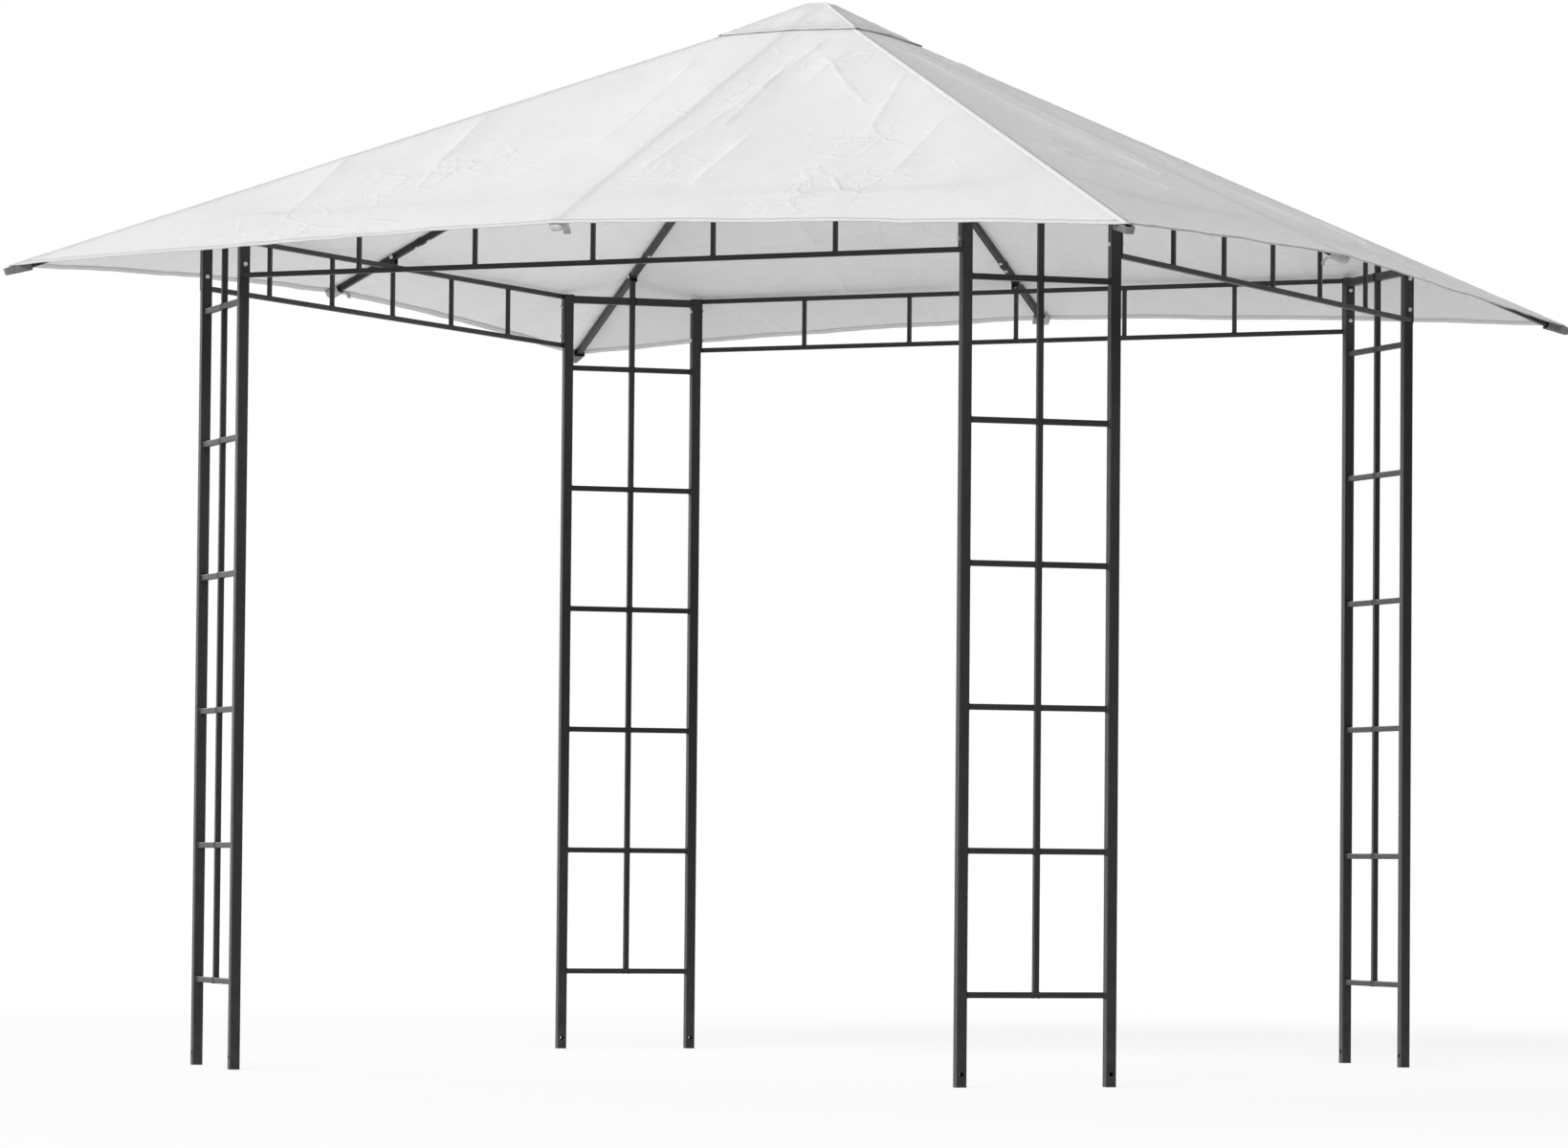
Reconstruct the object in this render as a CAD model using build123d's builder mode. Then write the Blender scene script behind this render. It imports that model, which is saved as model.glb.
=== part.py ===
from build123d import *
import os
from math import cos, radians, sin, sqrt, tan

# Garden gazebo: four steel leg panels set across the corners of a square, four trusses
# between them, eight rafters meeting at a hub, and a fabric roof with a vent cap.
# Origin at the centre of the ground plan, +Z up, the front side faces -Y. Millimetres.

os.makedirs("parts", exist_ok=True)

# ---- driving dimensions -------------------------------------------------------------
# legs
leg_radius = 1544.0          # centre of each leg panel, measured along the diagonal
post_spacing = 368.0         # between the two post centres of a leg
post_size = 25.0
post_wall = 1.2
post_height = 2062.0         # floor to the top of the post cap
centre_post_size = 14.0
centre_post_wall = 1.2
rung_size = 14.0
rung_wall = 1.2
rung_count = 6
first_rung_height = 211.0    # centre of the lowest rung
top_bar_size = 20.0
top_bar_drop = 13.0          # from the top of the post to the centre of the top bar
last_rung_drop = 188.0       # from the top bar down to the highest rung
peg_hole = 10.0              # ground peg holes in the feet
peg_height = 30.0

# trusses
rail_size = 12.0
rail_wall = 1.0
truss_depth = 134.0          # between the centres of the top and bottom rails
truss_drop = 6.5             # from the top of the post to the centre of the top rail
bar_size = 10.0
bar_wall = 1.0
bar_count = 5
plate_thickness = 3.0
bolt_spacing = 80.0

# roof frame
mid_pitch = 25.6             # slope of the rafters over the middle of each side
hip_pitch = 19.65            # slope of the rafters over the legs
rafter_size = 16.0
rafter_wall = 1.2
hip_overhang = 540.0         # fabric edge beyond the leg, along the diagonal
mid_overhang = 202.0         # fabric edge beyond the truss, at the middle of a side
hip_joint = 124.0            # rafter joint inside the leg
mid_joint = 83.0             # rafter joint inside the truss
rafter_setback = 14.0        # from the fabric edge to the end of the rafter tube
splice_length = 80.0
bracket_plate = 3.0          # sheet of the forks and saddles
bracket_length = 16.0
seat_gap = 3.5               # between a mid rafter and the base of its saddle
hub_radius = 30.0            # centre of the hub to each of its eight flats
hub_height = 28.0
stub_reach = 46.0            # from the hub flat to the end of a stub
disc_radius = 24.0
disc_thickness = 4.0
disc_stem = 10.0
disc_round = 1.6

# fabric
fabric = 2.0                 # measured straight down
fabric_gap = 2.5             # between the fabric and the rafters under it
post_clearance = 2.0         # least room between the post caps and the fabric
seam_gap = 0.2
hem_curve = 22.0             # hem's curve inwards between a corner and the middle of a side
vent_half = 140.0            # half the side of the square vent opening
cap_half = 188.0             # half the side of the vent cap
cap_top_half = 25.5          # half the side of the flat top of the vent cap
cap_lift = 12.0              # vent cap corner above the roof hip

# fastenings and plastic fittings
bolt_d = 6.0
bolt_clearance = 0.3         # all round, in the bolt holes
thread_gap = 0.1             # all round, in nuts and tapped holes
head_d = 11.0
head_height = 3.3
crown_share = 0.25           # radius of a head's flat crown, of the head's diameter
shoulder_share = 0.42        # radius half way round a head's dome
shoulder_rise = 0.72         # height there, of the head's height
nut_flats = 10.0
nut_height = 5.0
bolt_end = 2.0               # thread showing past the nut
screw_d = 4.8
screw_head_d = 9.0
screw_head_height = 2.6
fit_gap = 0.3                # all round, inserts in tubes
flange = 2.5                 # plastic caps and plugs
insert_depth = 15.0
joint_gap = 1.0              # between the two lengths of a rafter

# ---- derived places -----------------------------------------------------------------
post_offset = post_spacing / 2
top_bar_height = post_height - top_bar_drop
rung_pitch = (top_bar_height - last_rung_drop - first_rung_height) / (rung_count - 1)
top_rail_height = post_height - truss_drop
bottom_rail_height = top_rail_height - truss_depth
plate_centre = (top_rail_height + bottom_rail_height) / 2
bolt_heights = (plate_centre - bolt_spacing / 2, plate_centre + bolt_spacing / 2)
post_side = post_offset + post_size / 2
plate_face = post_side + plate_thickness
truss_line = (leg_radius + plate_face) / sqrt(2)     # side trusses, out from the centre
truss_half = (leg_radius - plate_face) / sqrt(2)     # half a rail, along its centre line
bar_pitch = 2 * truss_half / (bar_count + 1)

hip_fall = tan(radians(hip_pitch))
mid_fall = tan(radians(mid_pitch))
panel_fall = hip_fall * sqrt(2) - mid_fall           # roof panel, along the hem
fold_fall = (mid_fall - panel_fall) / sqrt(2)        # roof panel, square off the hip
mid_height_over_axis = rafter_size / 2 / cos(radians(mid_pitch))
hip_height_over_axis = rafter_size / 2 / cos(radians(hip_pitch))
mid_cover = fabric + fabric_gap + panel_fall * rafter_size / 2
hip_cover = fabric + fabric_gap + fold_fall * rafter_size / 2
mid_drop = mid_cover + mid_height_over_axis          # roof surface to the rafter axis
hip_drop = hip_cover + hip_height_over_axis
saddle_base = top_rail_height + rail_size / 2
# the roof rests on the saddles, or is lifted by them to clear the corners of the posts
seated_apex = (saddle_base + bracket_plate + seat_gap + mid_height_over_axis
               + mid_fall * bracket_length / 2 + mid_drop + mid_fall * truss_line)
clearing_apex = (post_height + post_clearance + fabric
                 + panel_fall * (leg_radius - post_offset) / sqrt(2)
                 + mid_fall * (leg_radius + post_offset + post_size) / sqrt(2))
apex_height = max(seated_apex, clearing_apex)
mid_axis_at_truss = apex_height - mid_drop - mid_fall * truss_line
hip_edge = leg_radius + hip_overhang
mid_edge = truss_line + mid_overhang
hip_axis_at_leg = apex_height - hip_drop - hip_fall * leg_radius
fork_base = (hip_axis_at_leg - hip_height_over_axis - fit_gap
             - hip_fall * bracket_length / 2 - bracket_plate)
cheek_rise = bolt_d / 2 + 2.5                        # bracket above the bolt's centre
bracket_inside = rafter_size + 2 * fit_gap
bracket_width = bracket_inside + 2 * bracket_plate
insert_size = rafter_size - 2 * rafter_wall - 2 * fit_gap
screw_hole = screw_d + 2 * bolt_clearance
splice_screw = splice_length / 4                     # screws from the joint
hub_screw = stub_reach / 2                           # screw from the hub's flat
hub_clear = hub_radius + rafter_size / 2 * sin(radians(mid_pitch)) + joint_gap
hub_axis_height = apex_height - mid_drop - mid_fall * hub_radius
hub_top = hub_axis_height + hub_height / 2
cap_corner_height = apex_height - hip_fall * cap_half * sqrt(2) + cap_lift

sides = ["front", "right", "back", "left"]
corners = ["front_right", "back_right", "back_left", "front_left"]


# ---- frames -------------------------------------------------------------------------
def radial_frame(angle, radius=0.0, height=0.0):
    """X along the side or leg panel, Y outwards, Z up."""
    c, s = cos(radians(angle)), sin(radians(angle))
    return Plane(origin=(radius * c, radius * s, height), x_dir=(s, -c, 0), z_dir=(0, 0, 1))


def leg_frame(corner):
    return radial_frame(-45 + 90 * corner, leg_radius)


def side_frame(side):
    return radial_frame(-90 + 90 * side)


def along_x(frame, x, y, z):
    """Sketch plane facing the frame's X, with the frame's Y to its right."""
    return Plane(frame.from_local_coords(Vector(x, y, z)), x_dir=frame.y_dir, z_dir=frame.x_dir)


def along_y(frame, x, y, z):
    return Plane(frame.from_local_coords(Vector(x, y, z)), x_dir=frame.x_dir, z_dir=frame.y_dir)


def along_z(frame, x, y, z):
    return Plane(frame.from_local_coords(Vector(x, y, z)), x_dir=frame.x_dir, z_dir=frame.z_dir)


def rafter_frame(direction, reach):
    """On a rafter's axis, reach out from the centre: Z down the slope, Y out of its underside."""
    pitch, drop = (hip_pitch, hip_drop) if direction % 2 else (mid_pitch, mid_drop)
    height = apex_height - drop - tan(radians(pitch)) * reach
    c, s = cos(radians(-90 + 45 * direction)), sin(radians(-90 + 45 * direction))
    cp, sp = cos(radians(pitch)), sin(radians(pitch))
    return Plane(origin=(reach * c, reach * s, height), x_dir=(s, -c, 0),
                 z_dir=(c * cp, s * cp, -sp))


# ---- shapes, each joining the part being built --------------------------------------
def square_tube(plane, size, wall, length, corner=1.6):
    with BuildSketch(plane) as profile:
        RectangleRounded(size, size, corner)
        RectangleRounded(size - 2 * wall, size - 2 * wall, corner / 2, mode=Mode.SUBTRACT)
    extrude(profile.sketch, amount=length)


def square_bar(plane, width, height, length, corner=0.8, mode=Mode.ADD):
    with BuildSketch(plane) as profile:
        RectangleRounded(width, height, corner)
    extrude(profile.sketch, amount=length, mode=mode)


def plate(plane, width, height, thickness):
    with BuildSketch(plane) as profile:
        Rectangle(width, height)
    extrude(profile.sketch, amount=thickness)


def bore(plane, diameter, depth):
    with BuildSketch(plane) as profile:
        Circle(diameter / 2)
    extrude(profile.sketch, amount=depth, mode=Mode.SUBTRACT)


def domed_bolt(plane, diameter, length, head, head_rise):
    """Shank along the plane's normal, its rounded head behind the plane."""
    axial = Plane(plane.origin, x_dir=plane.x_dir, z_dir=plane.y_dir)
    with BuildSketch(axial) as half:
        with BuildLine():
            crown = (head * crown_share, head_rise)
            Polyline((0, head_rise), crown)
            ThreePointArc(crown, (head * shoulder_share, head_rise * shoulder_rise),
                          (head / 2, 0))
            Polyline((head / 2, 0), (diameter / 2, 0), (diameter / 2, -length),
                     (0, -length), (0, head_rise))
        make_face()
    revolve(half.sketch, axis=Axis(plane.origin, plane.z_dir))


def hex_nut(plane, flats, height, bore_d):
    with BuildSketch(plane) as profile:
        RegularPolygon(flats / 2, 6, major_radius=False)
        Circle(bore_d / 2, mode=Mode.SUBTRACT)
    extrude(profile.sketch, amount=height)


def mitred_rail(side, height):
    """Truss rail with its ends cut at 45 degrees, flat against the end plates."""
    frame = side_frame(side)
    half = rail_size / 2
    with BuildSketch(along_z(frame, 0, truss_line, height - half)) as outline:
        with BuildLine():
            Polyline((-truss_half + half, -half), (truss_half - half, -half),
                     (truss_half + half, half), (-truss_half - half, half), close=True)
        make_face()
    extrude(outline.sketch, amount=rail_size)
    inside = rail_size - 2 * rail_wall
    start = along_x(frame, -truss_half - rail_size, truss_line, height)
    square_bar(start, inside, inside, 2 * (truss_half + rail_size), mode=Mode.SUBTRACT)


def u_bracket(frame, base, bolt_height):
    """Base plate at height base, two cheeks up past the bolt, in a radial frame."""
    cheek = bolt_height + cheek_rise - base
    plate(along_z(frame, 0, 0, base), bracket_width, bracket_length, bracket_plate)
    for hand in (-1, 1):
        x = hand * (bracket_width - bracket_plate) / 2
        plate(along_z(frame, x, 0, base), bracket_plate, bracket_length, cheek)
    bore(along_x(frame, -bracket_width, 0, bolt_height), bolt_d + 2 * bolt_clearance,
         2 * bracket_width)


def panel(points):
    """Fabric panel: the outline on the outer face, its thickness straight down."""
    outline = Face(Wire.make_polygon([Vector(*p) for p in points], close=True))
    extrude(outline, amount=fabric, dir=(0, 0, -1))


def slit(angle, reach):
    """Parts the fabric along a vertical plane through the centre, where a seam runs."""
    frame = radial_frame(angle)
    with BuildSketch(along_z(frame, 0, 0, 0)) as line:
        Rectangle(seam_gap, 2 * reach)
    extrude(line.sketch, amount=2 * apex_height, mode=Mode.SUBTRACT)


def tube_cap(plane, size, wall):
    """Plastic end cap: a flange over the tube end and an insert into the tube."""
    inside = size - 2 * wall - 2 * fit_gap
    square_bar(plane, size, size, -flange, corner=1.6)
    square_bar(plane, inside, inside, insert_depth)


# ---- leg panels ---------------------------------------------------------------------
for corner, corner_name in enumerate(corners):
    frame = leg_frame(corner)
    next_side = sides[(corner + 1) % 4]
    for hand, side_name in ((1, sides[corner]), (-1, next_side)):
        x = hand * post_offset
        with BuildPart() as post:
            square_tube(along_z(frame, x, 0, flange), post_size, post_wall,
                        post_height - 2 * flange, corner=2.4)
            bore(along_y(frame, x, -post_size, peg_height), peg_hole, 2 * post_size)
            for z in bolt_heights:
                bore(along_x(frame, x - post_size, 0, z), bolt_d + 2 * bolt_clearance,
                     2 * post_size)
        post.part.label = f"{corner_name}_post_{side_name}"
        export_step(post.part, f"parts/{corner_name}_post_{side_name}.step")

    with BuildPart() as centre_post:
        foot = first_rung_height - rung_size / 2
        square_tube(along_z(frame, 0, 0, foot), centre_post_size, centre_post_wall,
                    fork_base - foot)
    centre_post.part.label = f"{corner_name}_centre_post"
    export_step(centre_post.part, f"parts/{corner_name}_centre_post.step")

    # half rungs and the halves of the top bar, butted between the centre post and the posts
    with BuildPart() as rungs:
        bar_length = post_offset - post_size / 2 - centre_post_size / 2
        for start in (centre_post_size / 2, -centre_post_size / 2 - bar_length):
            for step in range(rung_count):
                z = first_rung_height + step * rung_pitch
                square_tube(along_x(frame, start, 0, z), rung_size, rung_wall, bar_length)
            square_tube(along_x(frame, start, 0, top_bar_height), top_bar_size, rung_wall,
                        bar_length)
    rungs.part.label = f"{corner_name}_rungs"
    export_step(rungs.part, f"parts/{corner_name}_rungs.step")

with BuildPart() as rafter_forks:
    for corner in range(4):
        u_bracket(leg_frame(corner), fork_base, hip_axis_at_leg)
rafter_forks.part.label = "rafter_forks"
export_step(rafter_forks.part, "parts/rafter_forks.step")

with BuildPart() as foot_plugs:
    for corner in range(4):
        for hand in (-1, 1):
            tube_cap(along_z(leg_frame(corner), hand * post_offset, 0, flange), post_size,
                     post_wall)
foot_plugs.part.label = "foot_plugs"
export_step(foot_plugs.part, "parts/foot_plugs.step")

with BuildPart() as post_caps:
    for corner in range(4):
        frame = leg_frame(corner)
        for hand in (-1, 1):
            top = along_z(frame, hand * post_offset, 0, post_height - flange)
            tube_cap(Plane(top.origin, x_dir=top.x_dir, z_dir=-top.z_dir), post_size, post_wall)
post_caps.part.label = "post_caps"
export_step(post_caps.part, "parts/post_caps.step")

# ---- trusses ------------------------------------------------------------------------
for side, side_name in enumerate(sides):
    with BuildPart() as top_rail:
        mitred_rail(side, top_rail_height)
    top_rail.part.label = f"{side_name}_top_rail"
    export_step(top_rail.part, f"parts/{side_name}_top_rail.step")

    with BuildPart() as bottom_rail:
        mitred_rail(side, bottom_rail_height)
    bottom_rail.part.label = f"{side_name}_bottom_rail"
    export_step(bottom_rail.part, f"parts/{side_name}_bottom_rail.step")

    with BuildPart() as truss_bars:
        for step in range(bar_count):
            x = (step - (bar_count - 1) / 2) * bar_pitch
            square_tube(along_z(side_frame(side), x, truss_line,
                                bottom_rail_height + rail_size / 2),
                        bar_size, bar_wall, truss_depth - rail_size, corner=1.0)
    truss_bars.part.label = f"{side_name}_truss_bars"
    export_step(truss_bars.part, f"parts/{side_name}_truss_bars.step")

with BuildPart() as truss_end_plates:
    for corner in range(4):
        frame = leg_frame(corner)
        for x in (post_side, -plate_face):
            plate(along_x(frame, x, 0, plate_centre), post_size, truss_depth + rail_size,
                  plate_thickness)
        for z in bolt_heights:
            bore(along_x(frame, -2 * post_offset, 0, z), bolt_d + 2 * bolt_clearance,
                 4 * post_offset)
truss_end_plates.part.label = "truss_end_plates"
export_step(truss_end_plates.part, "parts/truss_end_plates.step")


def outward(frame, hand, distance, height):
    """Plane across the leg, facing the outside of the post on that hand."""
    origin = frame.from_local_coords(Vector(hand * distance, 0, height))
    return Plane(origin, x_dir=frame.y_dir, z_dir=frame.x_dir * hand)


with BuildPart() as truss_bolts:
    for corner in range(4):
        for hand in (-1, 1):
            for z in bolt_heights:
                seat = outward(leg_frame(corner), hand, post_side - post_size, z)
                domed_bolt(seat, bolt_d, post_size + plate_thickness + nut_height + bolt_end,
                           head_d, head_height)
truss_bolts.part.label = "truss_bolts"
export_step(truss_bolts.part, "parts/truss_bolts.step")

with BuildPart() as truss_nuts:
    for corner in range(4):
        for hand in (-1, 1):
            for z in bolt_heights:
                hex_nut(outward(leg_frame(corner), hand, plate_face, z), nut_flats, nut_height,
                        bolt_d + 2 * thread_gap)
truss_nuts.part.label = "truss_nuts"
export_step(truss_nuts.part, "parts/truss_nuts.step")

# ---- rafters ------------------------------------------------------------------------
directions = [name for pair in zip(sides, corners) for name in pair]


def rafter_places(direction):
    """Where a rafter's joint, bracket and outer end are, out from the centre."""
    if direction % 2:
        return leg_radius - hip_joint, leg_radius, hip_edge - rafter_setback
    return truss_line - mid_joint, truss_line, mid_edge - rafter_setback


def slope_length(direction, start, end):
    return (end - start) / cos(radians(hip_pitch if direction % 2 else mid_pitch))


def under(direction, reach, offset):
    """On the underside of a rafter, offset down the slope from a place, facing up into it."""
    frame = rafter_frame(direction, reach)
    origin = frame.from_local_coords(Vector(0, rafter_size / 2, offset))
    return Plane(origin, x_dir=frame.x_dir, z_dir=-frame.y_dir)


for direction, name in enumerate(directions):
    joint, bracket, outer_end = rafter_places(direction)
    with BuildPart() as rafter_inner:
        start = rafter_frame(direction, hub_clear)
        length = slope_length(direction, hub_clear, joint) - joint_gap / 2
        square_tube(start, rafter_size, rafter_wall, length)
        bore(under(direction, hub_radius, hub_screw), screw_hole, rafter_size / 2)
        bore(under(direction, joint, -splice_screw), screw_hole, rafter_size / 2)
    rafter_inner.part.label = f"{name}_rafter_inner"
    export_step(rafter_inner.part, f"parts/{name}_rafter_inner.step")

    with BuildPart() as rafter_outer:
        start = rafter_frame(direction, joint)
        start = Plane(start.from_local_coords(Vector(0, 0, joint_gap / 2)), x_dir=start.x_dir,
                      z_dir=start.z_dir)
        length = slope_length(direction, joint, outer_end) - joint_gap / 2
        square_tube(start, rafter_size, rafter_wall, length)
        bore(under(direction, joint, splice_screw), screw_hole, rafter_size / 2)
        bore(along_x(rafter_frame(direction, bracket), -rafter_size, 0, 0),
             bolt_d + 2 * bolt_clearance, 2 * rafter_size)
    rafter_outer.part.label = f"{name}_rafter_outer"
    export_step(rafter_outer.part, f"parts/{name}_rafter_outer.step")

with BuildPart() as splice_sleeves:
    for direction in range(8):
        frame = rafter_frame(direction, rafter_places(direction)[0])
        start = Plane(frame.from_local_coords(Vector(0, 0, -splice_length / 2)),
                      x_dir=frame.x_dir, z_dir=frame.z_dir)
        square_tube(start, insert_size, 2 * rafter_wall, splice_length, corner=1.2)
        for offset in (-splice_screw, splice_screw):
            bore(under(direction, rafter_places(direction)[0], offset),
                 screw_d + 2 * thread_gap, rafter_size / 2)
splice_sleeves.part.label = "splice_sleeves"
export_step(splice_sleeves.part, "parts/splice_sleeves.step")

with BuildPart() as rafter_screws:
    for direction in range(8):
        joint = rafter_places(direction)[0]
        for reach, offset in ((hub_radius, hub_screw), (joint, -splice_screw),
                              (joint, splice_screw)):
            domed_bolt(under(direction, reach, offset), screw_d, rafter_size / 2,
                       screw_head_d, screw_head_height)
rafter_screws.part.label = "rafter_screws"
export_step(rafter_screws.part, "parts/rafter_screws.step")

with BuildPart() as rafter_end_caps:
    for direction in range(8):
        end = rafter_frame(direction, rafter_places(direction)[2])
        tube_cap(Plane(end.origin, x_dir=end.x_dir, z_dir=-end.z_dir), rafter_size, rafter_wall)
rafter_end_caps.part.label = "rafter_end_caps"
export_step(rafter_end_caps.part, "parts/rafter_end_caps.step")

with BuildPart() as mid_saddles:
    for side in range(4):
        frame = radial_frame(-90 + 90 * side, truss_line)
        u_bracket(frame, saddle_base, mid_axis_at_truss)
mid_saddles.part.label = "mid_saddles"
export_step(mid_saddles.part, "parts/mid_saddles.step")

with BuildPart() as rafter_bolts:
    for direction in range(8):
        bracket = rafter_frame(direction, rafter_places(direction)[1])
        domed_bolt(along_x(bracket, -bracket_width / 2, 0, 0), bolt_d,
                   bracket_width + nut_height + bolt_end, head_d, head_height)
rafter_bolts.part.label = "rafter_bolts"
export_step(rafter_bolts.part, "parts/rafter_bolts.step")

with BuildPart() as rafter_nuts:
    for direction in range(8):
        bracket = rafter_frame(direction, rafter_places(direction)[1])
        hex_nut(along_x(bracket, bracket_width / 2, 0, 0), nut_flats, nut_height,
                bolt_d + 2 * thread_gap)
rafter_nuts.part.label = "rafter_nuts"
export_step(rafter_nuts.part, "parts/rafter_nuts.step")

# ---- hub ----------------------------------------------------------------------------
with BuildPart() as hub:
    with BuildSketch(Plane.XY.offset(hub_top - hub_height)) as core:
        RegularPolygon(hub_radius, 8, major_radius=False, rotation=22.5)
    extrude(core.sketch, amount=hub_height)
    for direction in range(8):
        start = rafter_frame(direction, hub_radius - insert_size)
        reach = slope_length(direction, hub_radius - insert_size, hub_radius + stub_reach)
        square_bar(start, insert_size, insert_size, reach)
        bore(under(direction, hub_radius, hub_screw), screw_d + 2 * thread_gap,
             rafter_size / 2 + bolt_clearance)
hub.part.label = "hub"
export_step(hub.part, "parts/hub.step")

with BuildPart() as hub_top_disc:
    disc_top = apex_height - fabric - fit_gap
    with BuildSketch(Plane.XZ) as half:
        with BuildLine():
            Polyline((0, hub_top), (disc_stem, hub_top), (disc_stem, disc_top - disc_thickness),
                     (disc_radius, disc_top - disc_thickness), (disc_radius, disc_top),
                     (0, disc_top), close=True)
        make_face()
    revolve(half.sketch, axis=Axis.Z)
    fillet(hub_top_disc.faces().sort_by(Axis.Z)[-1].edges(), radius=disc_round)
hub_top_disc.part.label = "hub_top_disc"
export_step(hub_top_disc.part, "parts/hub_top_disc.step")


# ---- fabric roof --------------------------------------------------------------------
def on_hip(angle, reach):
    a = radians(angle)
    return reach * cos(a), reach * sin(a), apex_height - hip_fall * reach


def on_mid(angle, reach):
    a = radians(angle)
    return reach * cos(a), reach * sin(a), apex_height - mid_fall * reach


def half_side(mid_angle, hip_angle):
    """Half of one side of the roof, between a hip and the middle, with a curved hem."""
    corner = Vector(*on_hip(hip_angle, hip_edge))
    middle = Vector(*on_mid(mid_angle, mid_edge))
    drawn_in = Vector(*on_mid(mid_angle, mid_edge - hem_curve)) - middle
    hip_vent = Vector(*on_hip(hip_angle, vent_half * sqrt(2)))
    mid_vent = Vector(*on_mid(mid_angle, vent_half))
    hem = Edge.make_three_point_arc(corner, (corner + middle) / 2 + drawn_in, middle)
    outline = Wire([Edge.make_line(hip_vent, corner), hem, Edge.make_line(middle, mid_vent),
                    Edge.make_line(mid_vent, hip_vent)])
    extrude(Face(outline), amount=fabric, dir=(0, 0, -1))


with BuildPart() as canopy:
    for quarter in range(4):
        for hand in (-1, 1):
            half_side(90 * quarter, 90 * quarter + 45 * hand)
    for step in range(4):
        slit(45 * step, hip_edge)
canopy.part.label = "canopy"
export_step(canopy.part, "parts/canopy.step")

with BuildPart() as vent_cap:
    for quarter in range(4):
        ends = (90 * quarter - 45, 90 * quarter + 45)
        low = [(sqrt(2) * cap_half * cos(radians(a)), sqrt(2) * cap_half * sin(radians(a)),
                cap_corner_height) for a in ends]
        high = [(sqrt(2) * cap_top_half * cos(radians(a)),
                 sqrt(2) * cap_top_half * sin(radians(a)), apex_height) for a in ends]
        panel([low[0], low[1], high[1], high[0]])
    for step in (1, 3):
        slit(45 * step, hip_edge)
    with BuildSketch(Plane.XY.offset(apex_height - fabric)) as top:
        Rectangle(2 * cap_top_half - 2 * seam_gap, 2 * cap_top_half - 2 * seam_gap)
    extrude(top.sketch, amount=fabric)
vent_cap.part.label = "vent_cap"
export_step(vent_cap.part, "parts/vent_cap.step")
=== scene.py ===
import math

import bmesh
import bpy
from mathutils import Matrix, Vector, noise


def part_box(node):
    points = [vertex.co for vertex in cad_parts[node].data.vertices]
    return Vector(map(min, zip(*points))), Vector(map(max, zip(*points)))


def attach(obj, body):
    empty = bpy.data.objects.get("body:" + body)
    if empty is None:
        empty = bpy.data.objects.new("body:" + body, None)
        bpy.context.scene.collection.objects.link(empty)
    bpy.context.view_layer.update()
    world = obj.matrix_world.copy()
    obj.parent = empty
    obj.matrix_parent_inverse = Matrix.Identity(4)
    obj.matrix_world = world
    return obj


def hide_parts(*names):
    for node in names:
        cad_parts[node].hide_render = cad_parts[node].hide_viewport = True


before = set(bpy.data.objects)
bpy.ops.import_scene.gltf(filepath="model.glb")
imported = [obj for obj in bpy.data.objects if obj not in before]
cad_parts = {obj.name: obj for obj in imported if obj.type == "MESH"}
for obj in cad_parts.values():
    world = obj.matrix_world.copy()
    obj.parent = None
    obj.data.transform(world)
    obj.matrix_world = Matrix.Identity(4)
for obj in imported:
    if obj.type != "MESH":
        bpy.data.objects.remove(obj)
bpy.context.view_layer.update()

# ---- view and studio ----------------------------------------------------------------
# A pale studio floor in an even white surround, lit by broad lamps in front and on the
# left and a weaker one on the right. The view is from the front, just above the floor.
scene = bpy.context.scene
scene.view_settings.view_transform = "Standard"
eye = Vector((7.2014, -15.007, 0.5029))
turn, tilt, roll = (math.radians(angle) for angle in (25.914, 2.531, 0.509))
view = bpy.data.objects.new("view", bpy.data.cameras.new("view"))
view.data.lens, view.data.sensor_width, view.data.clip_end = 151.54, 36.0, 300.0
view.matrix_world = (Matrix.Translation(eye) @ Matrix.Rotation(turn, 4, "Z")
                     @ Matrix.Rotation(math.pi / 2 + tilt, 4, "X")
                     @ Matrix.Rotation(roll, 4, "Z"))
scene.collection.objects.link(view)
scene.camera = view


def add_node(tree, kind, inputs=None, **settings):
    """A node with its settings; inputs are plain values or the sockets that feed it."""
    node = tree.nodes.new("ShaderNode" + kind)
    for name, value in settings.items():
        setattr(node, name, value)
    for name, value in (inputs or {}).items():
        if isinstance(value, bpy.types.NodeSocket):
            tree.links.new(value, node.inputs[name])
        else:
            node.inputs[name].default_value = value
    return node


surround = bpy.data.worlds.new("studio_surround")
surround.use_nodes = True
surround.node_tree.nodes.clear()
scene.world = surround
tree = surround.node_tree
bright_side = Vector((-0.90, 0.32, 0.12)).normalized()
heading = add_node(tree, "TexCoord").outputs["Generated"]
toward = add_node(tree, "VectorMath", {0: heading, 1: bright_side}, operation="DOT_PRODUCT")
glow = add_node(tree, "MapRange", {"Value": toward.outputs["Value"], "From Min": -0.32,
                                   "From Max": 1.0, "To Min": 0.09, "To Max": 1.2},
                interpolation_type="SMOOTHERSTEP")
lit = add_node(tree, "Background", {"Strength": glow.outputs["Result"]})
plain = add_node(tree, "Background", {"Color": (1, 1, 1, 1), "Strength": 1.0})
seen = add_node(tree, "LightPath").outputs["Is Camera Ray"]
either = add_node(tree, "MixShader", {"Fac": seen, 1: lit.outputs[0], 2: plain.outputs[0]})
add_node(tree, "OutputWorld", {"Surface": either.outputs[0]})

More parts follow.
